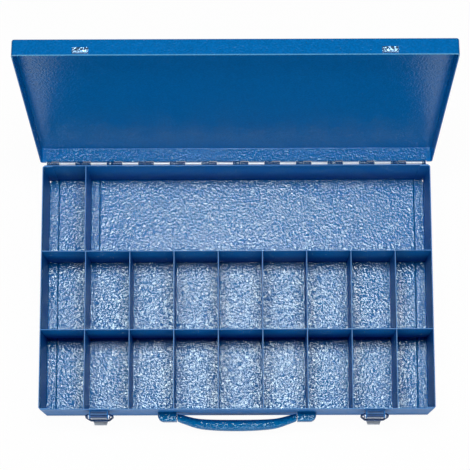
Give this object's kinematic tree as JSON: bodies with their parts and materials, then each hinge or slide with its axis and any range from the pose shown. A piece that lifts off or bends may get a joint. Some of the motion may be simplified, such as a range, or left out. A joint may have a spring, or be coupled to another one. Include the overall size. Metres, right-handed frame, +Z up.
{
  "type": "steel compartment case",
  "caption": "Open sheet-steel compartment case with a hinged lid, divided tray, two toggle latches and a folding carrying handle.",
  "frame": {"origin": "centre of the tray's flat underside", "axes": "+X to the right along the width, +Y to the rear where the hinge is, +Z up"},
  "size_m": [0.466, 0.3797, 0.3697],
  "materials": {
    "case_paint": "glossy hammered blue paint",
    "hinge_paint": "glossy hammered blue paint over a piano hinge",
    "zinc_small": "bright zinc plating",
    "zinc_latch": "bright nickel plating",
    "handle_paint": "glossy blue, roughened along the middle of the grip"
  },
  "bodies": {
    "tray": {"tray_shell": "case_paint", "end_panel_left": "case_paint", "end_panel_right": "case_paint", "long_divider_rear": "case_paint", "long_divider_front": "case_paint", "cross_divider_1": "case_paint", "cross_divider_2": "case_paint", "cross_divider_3": "case_paint", "cross_divider_4": "case_paint", "cross_divider_5": "case_paint", "cross_divider_6": "case_paint", "cross_divider_7": "case_paint", "cross_divider_8": "case_paint", "small_divider": "case_paint", "hinge_leaf_tray": "hinge_paint", "hinge_pin": "zinc_small", "latch_base_left": "case_paint", "latch_base_right": "case_paint", "latch_pivots": "zinc_small", "handle_block_left": "handle_paint", "handle_block_right": "handle_paint", "handle_rivets": "zinc_small", "handle_stubs": "zinc_small"},
    "lid": {"lid_shell": "case_paint", "hinge_leaf_lid": "hinge_paint", "keeper_left": "case_paint", "keeper_right": "case_paint"},
    "lever_left": {"latch_lever_left": "zinc_latch"},
    "lever_right": {"latch_lever_right": "zinc_latch"},
    "bail_left": {"latch_bail_left": "zinc_latch"},
    "bail_right": {"latch_bail_right": "zinc_latch"},
    "handle": {"handle_grip": "handle_paint"}
  },
  "joints": [
    {"name": "lid_hinge", "type": "hinge", "parent": "tray", "child": "lid", "pos_m": [0, 0.1479, 0.074], "axis": [1, 0, 0], "range_deg": [0, 99]},
    {"name": "lever_left_turn", "type": "hinge", "parent": "tray", "child": "lever_left", "pos_m": [-0.161, -0.1516, 0.065], "axis": [-1, 0, 0], "range_deg": [0, 165]},
    {"name": "bail_left_turn", "type": "hinge", "parent": "lever_left", "child": "bail_left", "pos_m": [-0.161, -0.15, 0.059], "axis": [-1, 0, 0], "range_deg": [0, 167.6]},
    {"name": "lever_right_turn", "type": "hinge", "parent": "tray", "child": "lever_right", "pos_m": [0.161, -0.1516, 0.065], "axis": [-1, 0, 0], "range_deg": [0, 165]},
    {"name": "bail_right_turn", "type": "hinge", "parent": "lever_right", "child": "bail_right", "pos_m": [0.161, -0.15, 0.059], "axis": [-1, 0, 0], "range_deg": [0, 167.6]},
    {"name": "handle_swing", "type": "hinge", "parent": "tray", "child": "handle", "pos_m": [0, -0.151, 0.041], "axis": [-1, 0, 0], "range_deg": [0, 100]}
  ]
}
